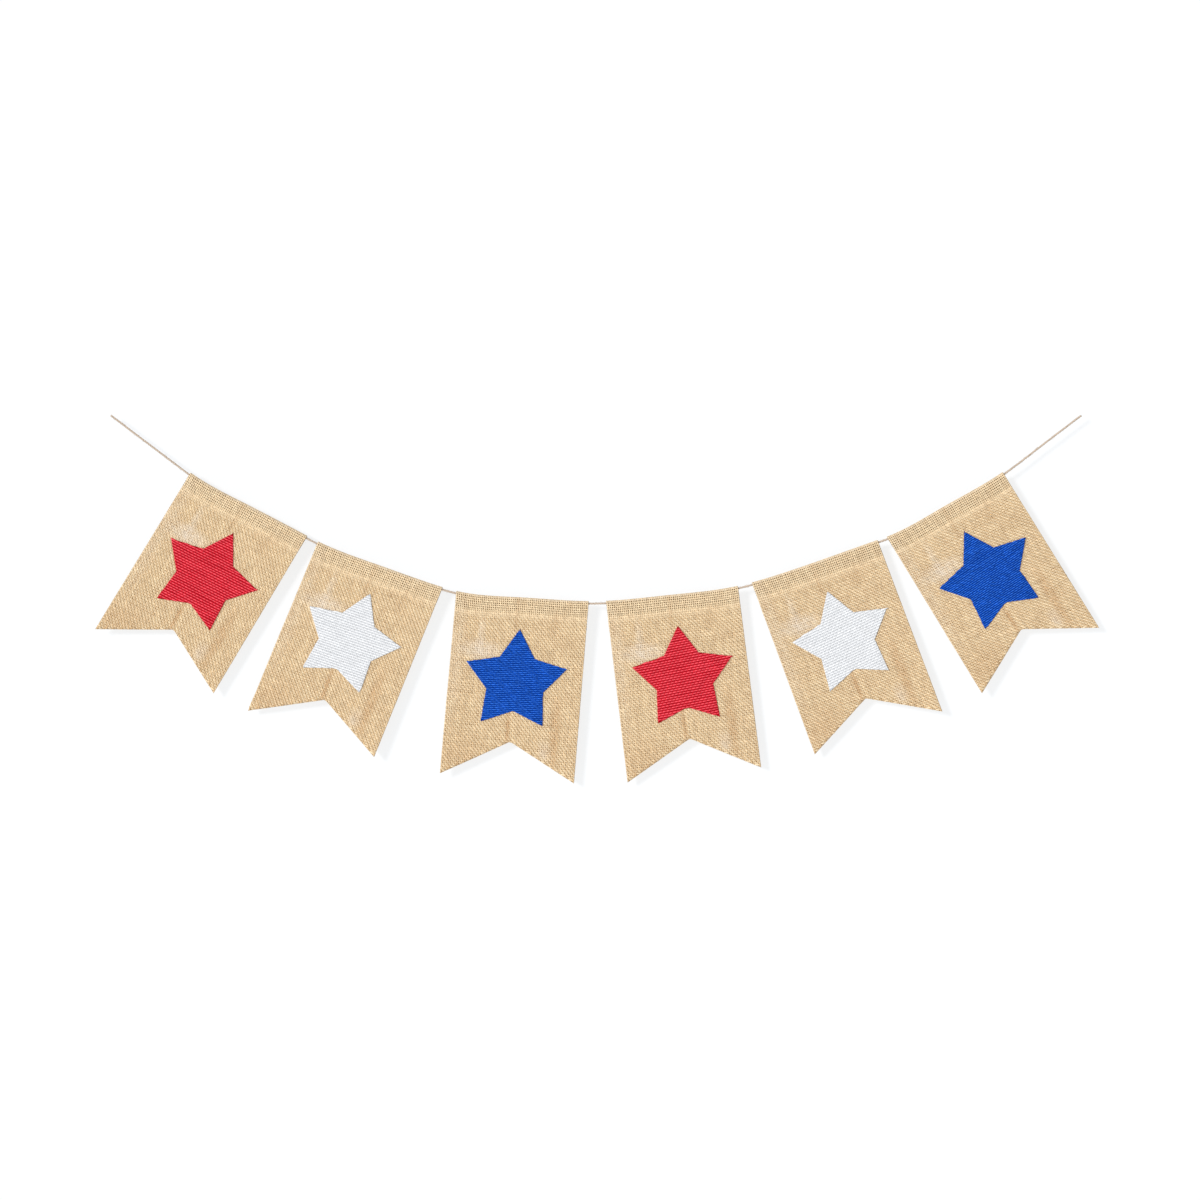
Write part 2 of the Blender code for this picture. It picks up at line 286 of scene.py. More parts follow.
class SmoothRoute:
    """A natural cubic spline through the twine's points, in the plane of the span."""

    def __init__(self, points):
        self.points = np.array(points)
        self.spans = np.hypot(*np.diff(self.points, axis=0).T)
        self.along = np.concatenate([[0.0], np.cumsum(self.spans)])
        self.bends = self.solve_bends()

    def solve_bends(self):
        count = len(self.points)
        rows = np.eye(count)
        wanted = np.zeros((count, 2))
        for i in range(1, count - 1):
            before, after = self.spans[i - 1], self.spans[i]
            rows[i, i - 1 : i + 2] = before, 2 * (before + after), after
            rise = (self.points[i + 1] - self.points[i]) / after
            rise_before = (self.points[i] - self.points[i - 1]) / before
            wanted[i] = 6 * (rise - rise_before)
        return np.linalg.solve(rows, wanted)

    def at(self, distance):
        """The points (x, z) at these distances along the route."""
        distance = np.atleast_1d(np.asarray(distance, float))
        i = np.searchsorted(self.along, distance, side="right") - 1
        i = i.clip(0, len(self.spans) - 1)
        span = self.spans[i][:, None]
        from_start = (distance - self.along[i])[:, None]
        to_end = span - from_start
        bend = self.bends[i] * to_end**3 + self.bends[i + 1] * from_start**3
        start = self.points[i] / span - self.bends[i] * span / 6
        end = self.points[i + 1] / span - self.bends[i + 1] * span / 6
        return bend / (6 * span) + start * to_end + end * from_start


def fold_section():
    """The section of a pennant's middle surface: distance along the cloth, back and down.

    The distance runs from the flap's cut end behind, up over the twine and down the front. On
    the front it is also the distance below the twine's axis.
    """
    turn = np.linspace(math.pi, 0.0, FOLD_POINTS)
    seam_gap = (CLOTH + POCKET_FOOT) / 2
    behind = [
        (FLAP_END, CLOTH / 2, SEAM_END),
        (FLAP_END + SEAM_END - SEAM_TOP, seam_gap, SEAM_TOP),
    ]
    over = zip(-FOLD_MIDDLE * turn, -FOLD_MIDDLE * np.cos(turn), -FOLD_MIDDLE * np.sin(turn))
    front = [
        (SEAM_TOP, -seam_gap, SEAM_TOP),
        (SEAM_END, -CLOTH / 2, SEAM_END),
        (HANG_CENTRED, 0.0, HANG_CENTRED),
        (TO_TIPS, 0.0, TO_TIPS),
    ]
    return np.array([*behind, *over, *front]).T


SECTION = fold_section()
TANGENT_STEP = 0.4 * MM
TO_BACK = np.array([0.0, 1.0, 0.0])
TO_FRONT = np.array([0.0, -1.0, 0.0])


def section_at(along):
    return np.stack([np.interp(along, SECTION[0], row) for row in SECTION[1:]], -1)


class PennantCloth:
    """Carries points from the flat cut of one pennant to where its cloth hangs.

    x runs across the cut from its middle, and y along it, as fold_section says.
    """

    def __init__(self, route, pennant):
        middle = route.along[pennant.route_point]
        self.route = route
        self.pennant = pennant
        self.first = middle - TOP_WIDTH / 2
        self.left, self.right = route.at([self.first, self.first + TOP_WIDTH])
        rightward = (self.right - self.left) / np.hypot(*(self.right - self.left))
        self.rightward = np.array([rightward[0], 0.0, rightward[1]])
        self.downward = np.array([rightward[1], 0.0, -rightward[0]])
        self.outline = np.array(
            [
                (-TOP_WIDTH / 2, FLAP_END),
                (TOP_WIDTH / 2, FLAP_END),
                (TOP_WIDTH / 2, TO_TIPS),
                (0.0, TO_TIPS - NOTCH),
                (-TOP_WIDTH / 2, TO_TIPS),
            ]
        )

    def fullness(self, y, axis):
        """How wide the threads of this axis are here, as a share of their width below."""
        return np.interp(np.abs(y), (SEAM_TOP, SEAM_END + GAPS_FADE), (HEM_FULLNESS[axis], 1.0))

    def unevenness(self, y):
        """How uneven the weave is here, as a share of what it is below."""
        return np.interp(np.abs(y), (SEAM_END, SEAM_END + HEM_FADE), (HEM_UNEVEN, 1.0))

    def swing(self, side, down):
        """How far the cloth stands back here. side goes from -1 on the left to 1 on the right."""
        share = down.clip(0.0) / TO_TIPS
        tip = np.where(side < 0, self.pennant.left_tip, self.pennant.right_tip)
        belly = self.pennant.belly * np.sin(math.pi * share.clip(max=1.0)) * (1 - side**2)
        return share**2 * tip * side**2 + belly

    def hang(self, x, back, down):
        """The place of a point this far across, behind the twine's axis and below it."""
        across = x / TOP_WIDTH + 0.5
        share = (down / TO_TIPS)[:, None]
        on_twine = self.route.at(self.first + across * TOP_WIDTH)
        on_chord = self.left + across[:, None] * (self.right - self.left)
        top = (1 - share) * on_twine + share * on_chord
        lean = math.tan(math.radians(self.pennant.lean)) * down
        flare = (across - 0.5) * (FOOT_WIDTH - TOP_WIDTH) * down / TO_TIPS
        places = np.stack([top[:, 0], back + self.swing(2 * across - 1, down), top[:, 1]], 1)
        return places + (flare - lean)[:, None] * self.rightward + down[:, None] * self.downward

    def place(self, x, y, height):
        """Places this high above the cloth's middle, and there the ways across, along and out."""
        before, after = section_at(y - TANGENT_STEP), section_at(y + TANGENT_STEP)
        way = (after - before) / np.linalg.norm(after - before, axis=1)[:, None]
        back, down = section_at(y).T
        places = self.hang(x, back - way[:, 1] * height, down + way[:, 0] * height)
        ahead = way[:, 1:] * self.downward + way[:, :1] * TO_BACK
        out = way[:, :1] * self.downward - way[:, 1:] * TO_BACK
        return places, np.broadcast_to(self.rightward, out.shape), ahead, out


class StarCloth:
    """Carries points from a star's flat cut to the front of its pennant.

    x runs along the ribs from the star's centre, and y across them, downwards.
    """

    def __init__(self, cloth):
        self.cloth = cloth
        pennant = cloth.pennant
        self.rib_turn = math.radians(pennant.rib_turn)
        turn = math.radians(pennant.lean + pennant.star_turn) - self.rib_turn
        corner = np.arange(2 * STAR_POINTS)
        radius = np.where(corner % 2, STAR_WAIST, STAR_TIP)
        angle = math.pi * corner / STAR_POINTS + turn
        self.outline = np.stack([radius * np.sin(angle), -radius * np.cos(angle)], 1)

    def turned(self, right, down):
        """These two ways turned by as much as the ribs are."""
        cos, sin = math.cos(self.rib_turn), math.sin(self.rib_turn)
        return right * cos - down * sin, right * sin + down * cos

    def fullness(self, y, axis):
        """As PennantCloth's, for a cloth that has no hem."""
        return 1.0

    def unevenness(self, y):
        return np.ones(len(y))

    def place(self, x, y, height):
        """As PennantCloth's, for the star's own ways across and along."""
        across, down = self.turned(x, y)
        cloth, pennant = self.cloth, self.cloth.pennant
        centre = pennant.star_drop - FOLD_OUTER
        lean = math.tan(math.radians(pennant.lean)) * down
        width = TOP_WIDTH + (FOOT_WIDTH - TOP_WIDTH) * (centre + down) / TO_TIPS
        x_cloth = (pennant.star_across + across + lean) / width * TOP_WIDTH
        middle = CLOTH / 2 + STAR_CLOTH / 2
        back = section_at(centre + down)[:, 0] - middle - height
        places = cloth.hang(x_cloth, back, centre + down)
        cos, sin = math.cos(self.rib_turn), math.sin(self.rib_turn)
        right = cos * cloth.rightward + sin * cloth.downward
        below = cos * cloth.downward - sin * cloth.rightward
        ways = (np.broadcast_to(way, places.shape) for way in (right, below, TO_FRONT))
        return places, *ways


# --- Meshes of threads ---

Strand = namedtuple("Strand", "places side out wide high flat rise system")

# The bake map. A strand's strip is seen aslant, and its caps are small beside it.
STRIP_MARGIN = 0.02
STRIP_HALF = 0.3
STRIP_ASLANT = 0.4
CAP_HALF = 0.004
SHEET_MARGIN = 0.01


class ThreadMesh:
    """Gathers strands and joins them as closed tubes in one mesh, flat on top if four-sided.

    Each point keeps three attributes. thread is the distance along its strand, the distance
    from the strand's middle line and the strand's number. relief is the strand's rise as seen
    from the point's own face of the cloth, 1 over the other threads and -1 under them, the
    point's share of the way from the crest to the side, and the strand's system, 0 or 1. flat
    is the strand's place in the flat cloth.
    """

    def __init__(self, sides):
        self.sides = sides
        self.strands = []

    def add(self, places, side, out, wide, high, flat, rise=1.0, system=0.0):
        ahead = places[1] - places[0]
        if np.dot(np.cross(side[0], out[0]), ahead) < 0:
            side = -side
        ones = np.ones(len(places))
        sizes = (wide * ones, high * ones)
        self.strands.append(Strand(places, side, out, *sizes, flat, rise * ones, system * ones))

    def build(self, name, material):
        sides = self.sides
        angle = 2 * math.pi * (np.arange(sides) + 0.5) / sides
        cos, sin = (wave / np.abs(wave).max() for wave in (np.cos(angle), np.sin(angle)))
        parts = [np.concatenate(part) for part in zip(*self.strands)]
        places, side, out, wide, high, flat, rise, system = parts
        beside = np.outer(wide / 2, cos)
        above = np.outer(high / 2, sin)
        points = places[:, None] + beside[..., None] * side[:, None]
        points += above[..., None] * out[:, None]
        counts = np.array([len(strand.places) for strand in self.strands])
        starts = np.concatenate([[0], np.cumsum(counts)[:-1]])
        tubes, caps = closed_tubes(starts, counts, sides)
        data = mesh_of(name, points, tubes, caps)

        number = np.repeat(np.arange(len(counts)), counts)
        steps = np.linalg.norm(np.diff(places, axis=0, prepend=places[:1]), axis=1)
        steps[starts] = 0.0
        run = np.cumsum(steps)
        along = run - run[starts][number]
        thread = np.stack([np.repeat(along, sides), beside.ravel(), np.repeat(number, sides)], 1)
        edge = np.tile(np.abs(cos), len(places))
        # The rise seen from each face, which the materials use for painted shade and painted
        # highlights
        facing = np.outer(rise, np.sign(sin)).ravel()
        relief = np.stack([facing, edge, np.repeat(system, sides)], 1)
        add_vectors(data, "thread", thread)
        add_vectors(data, "relief", relief)
        add_vectors(data, "flat", np.repeat(flat, sides, axis=0))
        corners = np.concatenate([tubes.ravel(), caps.ravel()])
        self.add_bake_map(data, thread, corners, tubes.size, cos + STRIP_ASLANT * sin)
        return new_object(name, data, material)

    def add_bake_map(self, data, thread, corners, in_tubes, aslant):
        """One strip of the map for each strand, seen aslant so that no face of it is edge on."""
        along, _, number = thread[corners].T
        place = aslant[corners % self.sides]
        u = STRIP_MARGIN + (1 - 2 * STRIP_MARGIN) * along / thread[:, 0].max()
        v = (number + 0.5 + STRIP_HALF * place) / (number.max() + 1)
        u[in_tubes:] += CAP_HALF * np.roll(aslant, 1)[corners[in_tubes:] % self.sides]
        add_map(data, np.stack([u, v], 1))


def closed_tubes(starts, counts, sides):
    """The corners of the faces between each strand's rings, and of the caps at its two ends."""
    rings = np.arange(counts.sum())
    first = rings[np.isin(rings, starts + counts - 1, invert=True)] * sides
    k = np.arange(sides)
    after = (k + 1) % sides
    tubes = first[:, None, None] + np.stack([k, after, after + sides, k + sides], -1)
    start_caps = starts[:, None] * sides + k[::-1]
    end_caps = (starts + counts - 1)[:, None] * sides + k
    return tubes.reshape(-1, 4), np.concatenate([start_caps, end_caps])


def mesh_of(name, points, tubes, caps):
    """A mesh of these points and faces, smooth but for the caps."""
    totals = np.concatenate([np.full(len(tubes), 4), np.full(len(caps), caps.shape[1])])
    corners = np.concatenate([tubes.ravel(), caps.ravel()])
    data = bpy.data.meshes.new(name)
    data.vertices.add(points.size // 3)
    data.vertices.foreach_set("co", points.ravel())
    data.loops.add(len(corners))
    data.loops.foreach_set("vertex_index", corners)
    data.polygons.add(len(totals))
    data.polygons.foreach_set("loop_start", np.concatenate([[0], np.cumsum(totals)[:-1]]))
    data.update(calc_edges=True)
    data.polygons.foreach_set("use_smooth", np.arange(len(totals)) < len(tubes))
    return data


def add_vectors(data, name, vectors):
    attribute = data.attributes.new(name, "FLOAT_VECTOR", "POINT")
    padded = np.zeros((len(vectors), 3), np.float32)
    padded[:, : vectors.shape[1]] = vectors
    attribute.data.foreach_set("vector", padded.ravel())


def add_map(data, corners):
    layer = data.uv_layers.new(name="OFBake")
    layer.uv.foreach_set("vector", corners.astype(np.float32).ravel())


def new_object(name, data, material):
    data.materials.append(material)
    thing = bpy.data.objects.new(name, data)
    bpy.context.collection.objects.link(thing)
    return thing


def sheet_mesh(name, places, faces, flat, material):
    """An open sheet of these faces, which keeps each point's place in the flat cloth."""
    data = bpy.data.meshes.new(name)
    data.from_pydata(places.tolist(), [], faces)
    add_vectors(data, "flat", flat)
    low, high = flat.min(0), flat.max(0)
    spots = SHEET_MARGIN + (1 - 2 * SHEET_MARGIN) * (flat - low) / (high - low)
    add_map(data, spots[[loop.vertex_index for loop in data.loops]])
    data.update()
    data.shade_smooth()
    return new_object(name, data, material)


# --- Weaving ---


def smooth_noise(rng, rows, columns, reach):
    """Noise of unit spread that changes over about this many columns, row by row."""
    raw = rng.standard_normal((rows, columns + 2 * reach))
    kernel = np.hanning(2 * reach + 3)[1:-1]
    kernel /= np.sqrt((kernel**2).sum())
    return np.array([np.convolve(row, kernel, "valid") for row in raw])


def spans_at(outline, axis, value):
    """The stretches inside the outline on the line where this axis has this value.

    Each end of a stretch is a place and the outline's slope there, its step along the line for
    each step across it.
    """
    other = 1 - axis
    cuts = []
    for start, end in zip(outline, np.roll(outline, -1, axis=0)):
        if (start[axis] <= value) != (end[axis] <= value):
            slope = (end[other] - start[other]) / (end[axis] - start[axis])
            cuts.append((start[other] + slope * (value - start[axis]), slope))
    cuts.sort()
    return list(zip(cuts[::2], cuts[1::2]))


def joined(ends, middle):
    return np.concatenate([ends[:1], middle, ends[1:]])


def finer(steps, *rows):
    """The rows with this many steps in place of each one of theirs."""
    coarse = np.arange(len(rows[0]))
    fine = np.linspace(0, coarse[-1], steps * coarse[-1] + 1)
    return [np.interp(fine, coarse, row) for row in rows]


def lay_threads(mesh, cloth, thread, axis, lines, crossings, drift, over, uneven, rng):
    """Lays one system of a weave. axis is 0 for threads at fixed x, and 1 for those at fixed y.

    lines are the threads' places and crossings the other system's. At each crossing, drift is
    how far it is pushed along both, over is 1 where this system lies on top and -1 elsewhere,
    and uneven is the share of the thread's slubs that it gets.
    """
    slubs = smooth_noise(rng, len(lines), len(crossings), SLUB_REACH)
    slubs += THREAD_SPREAD * rng.standard_normal((len(lines), 1))
    slubs = (1 + uneven * thread.slubs * slubs).clip(*SLUB_LIMITS)
    for i, line in enumerate(lines):
        for (low, low_slope), (high, high_slope) in spans_at(cloth.outline, axis, line):
            slopes = np.clip([low_slope, high_slope], -STEEPEST_CUT, STEEPEST_CUT)
            clear = np.abs(slopes) * thread.wide / 2 + CUT_CLEAR * thread.pitch
            if high - low < clear.sum():
                continue
            inside = (crossings > low + clear[0]) & (crossings < high - clear[1])
            ends = [low, high] + FRAY * rng.uniform([-1, -FRAY_SHORT], [FRAY_SHORT, 1])
            run = joined(ends, (crossings + drift[1][i])[inside])
            aside = line + joined((0.0, 0.0), drift[0][i][inside])
            rise = joined((0.0, 0.0), over[i][inside])
            size = joined((END_SIZE, END_SIZE), slubs[i][inside])
            lean = joined(slopes, np.full(inside.sum(), thread.lean))
            run, aside, rise, size, lean = finer(thread.steps, run, aside, rise, size, lean)
            flat = np.stack([aside, run] if axis == 0 else [run, aside], 1)
            places, across, ahead, out = cloth.place(*flat.T, thread.wave * rise)
            side, along = (across, ahead) if axis == 0 else (ahead, across)
            wide = thread.wide * size * (1 + thread.swell * rise) * cloth.fullness(flat[:, 1], axis)
            sizes = (wide, thread.high * (0.5 + 0.5 * size))
            side = side + lean[:, None] * along
            mesh.add(places, side, out, *sizes, flat, rise, float(axis))


def weave(cloth, warp, weft, rng):
    """The threads of one piece of plain weave, as a mesh for each number of sides."""
    low, high = cloth.outline.min(0), cloth.outline.max(0)
    lines = []
    for k, thread in enumerate((warp, weft)):
        count = round((high[k] - low[k]) / thread.pitch)
        even = low[k] + (np.arange(count) + 0.5) * (high[k] - low[k]) / count
        off = rng.standard_normal(count).clip(-SPACING_LIMIT, SPACING_LIMIT)
        lines.append(even + thread.uneven * thread.pitch * off)
    warps, wefts = len(lines[0]), len(lines[1])
    over = np.where(np.add.outer(np.arange(warps), np.arange(wefts)) % 2, 1.0, -1.0)
    uneven = cloth.unevenness(lines[1]) * np.ones_like(over)
    x_noise = smooth_noise(rng, warps, wefts, WANDER_REACH)
    y_noise = smooth_noise(rng, wefts, warps, WANDER_REACH).T
    x_drift = WANDER * warp.uneven * warp.pitch * x_noise * uneven
    y_drift = WANDER * weft.uneven * weft.pitch * y_noise * uneven
    meshes = {thread.sides: ThreadMesh(thread.sides) for thread in (warp, weft)}
    drift = (x_drift, y_drift)
    lay_threads(meshes[warp.sides], cloth, warp, 0, *lines, drift, over, uneven, rng)
    drift = (y_drift.T, x_drift.T)
    lay_threads(meshes[weft.sides], cloth, weft, 1, *lines[::-1], drift, -over.T, uneven.T, rng)
    return list(meshes.values())


def pennant_sheet(name, cloth, material):
    """The haze of a pennant: a thin open sheet at the cloth's middle, from edge to edge."""
    flap = np.linspace(FLAP_END, FOLD_START, FLAP_ROWS, endpoint=False)
    fold = np.linspace(FOLD_START, 0.0, FOLD_ROWS, endpoint=False)
    upper = np.concatenate([flap, fold, [0.0, SEAM_TOP]])
    xs = np.linspace(-TOP_WIDTH / 2, TOP_WIDTH / 2, HAZE_COLUMNS + 1)
    feet = TO_TIPS - NOTCH * (1 - 2 * np.abs(xs) / TOP_WIDTH)
    fronts = (np.linspace(SEAM_END, foot, FRONT_ROWS) for foot in feet)
    ys = np.array([np.concatenate([upper, front]) for front in fronts])
    flat = np.stack([np.repeat(xs, ys.shape[1]), ys.ravel()], 1)
    places = cloth.place(*flat.T, np.zeros(len(flat)))[0]
    i = np.arange(ys.size).reshape(ys.shape)
    faces = np.stack([i[:-1, :-1], i[:-1, 1:], i[1:, 1:], i[1:, :-1]], -1).reshape(-1, 4)
    return sheet_mesh(name, places, faces.tolist(), flat, material)


def star_sheet(name, star, material):
    """The haze of a star: rings of its own outline round its centre."""
    rim = star.outline * (1 - STAR_INSET / STAR_WAIST)
    count = len(rim)
    rings = [rim * (k + 1) / STAR_RINGS for k in range(STAR_RINGS)]
    flat = np.concatenate([np.zeros((1, 2)), *rings])
    faces = []
    for i in range(count):
        j = (i + 1) % count
        faces.append((0, 1 + i, 1 + j))
        for ring in range(STAR_RINGS - 1):
            inner = 1 + ring * count
            faces.append((inner + i, inner + count + i, inner + count + j, inner + j))
    places = star.place(*flat.T, np.zeros(len(flat)))[0]
    return sheet_mesh(name, places, faces, flat, material)


# --- Materials ---


def linear(colour):
    """A screen's 0 to 255 colour as the linear one that a shader takes."""
    value = np.array(colour) / 255
    bright = ((value + 0.055) / 1.055) ** 2.4
    return (*np.where(value <= 0.04045, value / 12.92, bright), 1.0)


class Nodes:
    """A matt fabric material and short ways to add nodes to it."""

    def __init__(self, name, roughness, specular=0.06, sheen=0.0):
        self.material = bpy.data.materials.new(name)
        self.material.use_nodes = True
        self.tree = self.material.node_tree
        self.shader = self.tree.nodes["Principled BSDF"]
        looks = {"Roughness": roughness, "Specular IOR Level": specular, "Sheen Weight": sheen}
        for socket, value in looks.items():
            self.shader.inputs[socket].default_value = value

    def put(self, socket, value):
        if isinstance(value, bpy.types.NodeSocket):
            self.tree.links.new(value, socket)
        else:
            socket.default_value = value

    def add(self, kind, output=0, inputs=(), **settings):
        node = self.tree.nodes.new(kind)
        for name, value in settings.items():
            setattr(node, name, value)
        for key, value in dict(inputs).items():
            self.put(node.inputs[key], value)
        return node.outputs[output]

    def attribute(self, name):
        return self.add("ShaderNodeAttribute", "Vector", attribute_name=name)

    def part(self, vector, axis):
        return self.add("ShaderNodeSeparateXYZ", axis, {0: vector})

    def vector_math(self, operation, first, second, output=0):
        inputs = {0: first, 1: second}
        return self.add("ShaderNodeVectorMath", output, inputs, operation=operation)

    def noise(self, vector, stretch, scale=1.0, detail=2.0, rough=0.55):
        vector = self.vector_math("MULTIPLY", vector, stretch)
        inputs = {"Vector": vector, "Scale": scale, "Detail": detail, "Roughness": rough}
        return self.add("ShaderNodeTexNoise", "Fac", inputs)

    def ranged(self, value, low, high, to_low, to_high):
        inputs = {0: value, 1: low, 2: high, 3: to_low, 4: to_high}
        return self.add("ShaderNodeMapRange", inputs=inputs)

    def varied(self, noise, to_low, to_high, swing=0.2):
        """Values between these two, for a noise that mostly stays this near to a half."""
        return self.ranged(noise, 0.5 - swing, 0.5 + swing, to_low, to_high)

    def times(self, first, second):
        return self.add("ShaderNodeMath", inputs={0: first, 1: second}, operation="MULTIPLY")

    def mix(self, share, first, second):
        inputs = {"Factor": share, 6: first, 7: second}
        return self.add("ShaderNodeMix", 2, inputs, data_type="RGBA")

    def lit(self, colour, light):
        """The colour made lighter or darker by a number."""
        colour = colour if isinstance(colour, bpy.types.NodeSocket) else colour[:3]
        return self.add("ShaderNodeVectorMath", inputs={0: colour, 3: light}, operation="SCALE")

    def ramp(self, value, stops):
        """The colour at this value, between stops of rising values from 0."""
        last = stops[-1][0]
        node = self.tree.nodes.new("ShaderNodeValToRGB")
        elements = node.color_ramp.elements
        while len(elements) < len(stops):
            elements.new(0.5)
        for element, (stop, colour) in zip(elements, stops):
            element.position = stop / last
            element.color = linear(colour)
        self.put(node.inputs[0], self.ranged(value, 0.0, last, 0.0, 1.0))
        return node.outputs[0]

    def bump(self, height, distance, strength):
        inputs = {"Height": height, "Distance": distance, "Strength": strength}
        self.put(self.shader.inputs["Normal"], self.add("ShaderNodeBump", "Normal", inputs))

    def finish(self, colour):
        self.put(self.shader.inputs["Base Color"], colour)
        return self.material


# Fibre patterns in the thread attribute: fine noise that is stretched along the thread, and
# slow noise that changes from thread to thread
FIBRE = (900.0, 7000.0, 3.7)
PER_THREAD = (60.0, 0.0, 11.3)

# Patterns in the flat attribute: two that are longer one way, and the scales of the even ones
STREAK = (500.0, 900.0, 1.0)  # on a star, longer along its ribs
CLOUD = (220.0, 60.0, 1.0)  # on the burlap, longer down its warp
EVEN = (1.0, 1.0, 1.0)
MOTTLE = 1000.0
GRAIN = 900.0
RAGGED = 260.0
SLOW = 100.0


def fibres(nodes, dark, bright, spread):
    """The lightness of fine lengthwise fibres, which also raise the surface.

    Whole threads differ by the spread.
    """
    thread = nodes.attribute("thread")
    fine = nodes.noise(thread, FIBRE, detail=3.0, rough=0.6)
    nodes.bump(fine, 0.12 * MM, 0.7)
    slow = nodes.noise(thread, PER_THREAD)
    lightness = nodes.varied(fine, dark, bright, swing=0.25)
    return nodes.times(lightness, nodes.varied(slow, 1 - spread, 1 + spread))


def blotched(nodes, flat, colour):
    """The colour with the cloth's paler and rustier places in it."""
    ragged = nodes.noise(flat, EVEN, RAGGED, detail=3.0)
    for blotch in BLOTCHES:
        middle = (blotch.across - TOP_WIDTH / 2, blotch.down - FOLD_OUTER, 0.0)
        reach = (1 / blotch.half_width, 1 / blotch.half_height, 0.0)
        away = nodes.vector_math("SUBTRACT", flat, middle)
        away = nodes.vector_math("MULTIPLY", away, reach)
        away = nodes.vector_math("LENGTH", away, (0.0, 0.0, 0.0), "Value")
        near = nodes.ranged(away, *BLOTCH_FADE, 1.0, 0.0)
        rough = nodes.times(near, nodes.varied(ragged, 0.35, 1.0, swing=0.15))
        colour = nodes.mix(nodes.times(rough, blotch.share), colour, linear(blotch.colour))
    return colour


def burlap_threads():
    nodes = Nodes("burlap", 0.93, sheen=0.05)
    flat = nodes.attribute("flat")
    rise, _, system = (nodes.part(nodes.attribute("relief"), axis) for axis in range(3))
    below_hem = nodes.ranged(nodes.part(flat, 1), SEAM_END, SEAM_END + HEM_FADE, 0.0, 1.0)
    on_crest = nodes.times(nodes.ranged(rise, *CREST_RISE, WARP_IN_DIPS, 1.0), below_hem)
    warp = nodes.mix(on_crest, linear(WEFT_STRAW), linear(WARP_STRAW))
    straw = nodes.mix(system, warp, linear(WEFT_STRAW))
    straw = blotched(nodes, flat, straw)
    cloudy = nodes.noise(flat, CLOUD, detail=3.0)
    straw = nodes.mix(nodes.varied(cloudy, CLOUD_RUST, 0.0, swing=0.15), straw, linear(RUST))
    # Painted shade: threads are darker where they dip under others, below the hem but not in it
    dip_shade = nodes.ranged(below_hem, 0.0, 1.0, 1.0, DIP_SHADE)
    light = nodes.times(fibres(nodes, *BURLAP_FIBRES), nodes.ranged(rise, -1.0, 0.2, dip_shade, 1.0))
    light = nodes.times(light, nodes.varied(cloudy, *CLOUD_LIGHT, swing=0.15))
    mottled = nodes.noise(flat, EVEN, MOTTLE, detail=1.0)
    light = nodes.times(light, nodes.varied(mottled, *MOTTLED_LIGHT))
    light = nodes.times(light, nodes.ranged(below_hem, 0.0, 0.6, HEM_LIGHT, 1.0))
    return nodes.finish(nodes.lit(straw, light))


def burlap_haze():
    """The fibres behind a pennant's gaps, with painted shade between the hem's two layers."""
    nodes = Nodes("burlap_haze", 0.95)
    flat = nodes.attribute("flat")
    grain = nodes.noise(flat, EVEN, GRAIN)
    nodes.bump(grain, 0.2 * MM, 0.5)
    depth = nodes.add("ShaderNodeMath", inputs={0: nodes.part(flat, 1), 1: FOLD_OUTER})
    colour = nodes.ramp(depth, HAZE_BY_DEPTH)
    return nodes.finish(nodes.lit(colour, nodes.varied(grain, *HAZE_LIGHT)))


def star_threads(colour):
    """Ribs with painted shade in their grooves and painted highlights on their crests, and threads
    that cross the grooves low down.
    """
    nodes = Nodes(f"{colour}_cloth", 0.8)
    rise, edge, system = (nodes.part(nodes.attribute("relief"), axis) for axis in range(3))
    low, high, highlight_colour = (linear(shade) for shade in STAR_COLOURS[colour])
    # Painted highlight along each rib's crest, weaker where the rib dips under a crossing thread
    highlight_by_rise = nodes.ranged(rise, -1.0, 1.0, 0.7, 1.0)
    crest = nodes.times(nodes.ranged(edge, *CREST, 1.0, 0.0), highlight_by_rise)
    rib = nodes.mix(crest, high, highlight_colour)
    # Painted shade in the grooves at the ribs' sides
    out_of_groove_shade = nodes.ranged(edge, GROOVE_SHADE, 1.0, 1.0, 0.0)
    on_rib = nodes.mix(out_of_groove_shade, low, rib)
    # Painted shade: a crossing thread takes the grooves' dark colour where it dips
    crossing = nodes.mix(nodes.ranged(rise, *CREST_RISE, 0.0, 1.0), low, high)
    flat = nodes.attribute("flat")
    spread = STAR_STREAKS[colour]
    streaks = nodes.varied(nodes.noise(flat, STREAK), 1 - spread, 1 + spread)
    light = nodes.times(fibres(nodes, *STAR_FIBRES), streaks)
    slow = nodes.varied(nodes.noise(flat, EVEN, SLOW), 1 - spread / 3, 1 + spread / 3)
    light = nodes.times(light, slow)
    return nodes.finish(nodes.lit(nodes.mix(system, crossing, on_rib), light))


def star_haze(colour):
    nodes = Nodes(f"{colour}_haze", 0.9)
    grain = nodes.noise(nodes.attribute("flat"), EVEN, GRAIN)
    light = nodes.varied(grain, *STAR_HAZE_LIGHT)
    # Painted shade: the haze behind a star's threads takes the grooves' dark colour
    return nodes.finish(nodes.lit(linear(STAR_COLOURS[colour][0]), light))


def single_thread(name, colour, lightness):
    """Twine, sewing thread or a loose fibre."""
    nodes = Nodes(name, 0.88)
    return nodes.finish(nodes.lit(linear(colour), fibres(nodes, *lightness)))


# --- Pieces ---


def dress(piece, slot, *nodes):
    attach(piece, "root")
    if nodes:
        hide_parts(*nodes)
    return piece


def along_twine(route):
    """The twine's middle at even steps, the distance to each and the way up from it."""
    total = route.along[-1]
    distance = np.linspace(0.0, total, round(total / PLY_STEP) + 1)
    middle = route.at(distance)
    ahead = np.gradient(middle, axis=0)
    ahead /= np.linalg.norm(ahead, axis=1)[:, None]
    still = np.zeros(len(distance))
    up = np.stack([-ahead[:, 1], still, ahead[:, 0]], 1)
    return np.stack([middle[:, 0], still, middle[:, 1]], 1), distance, up


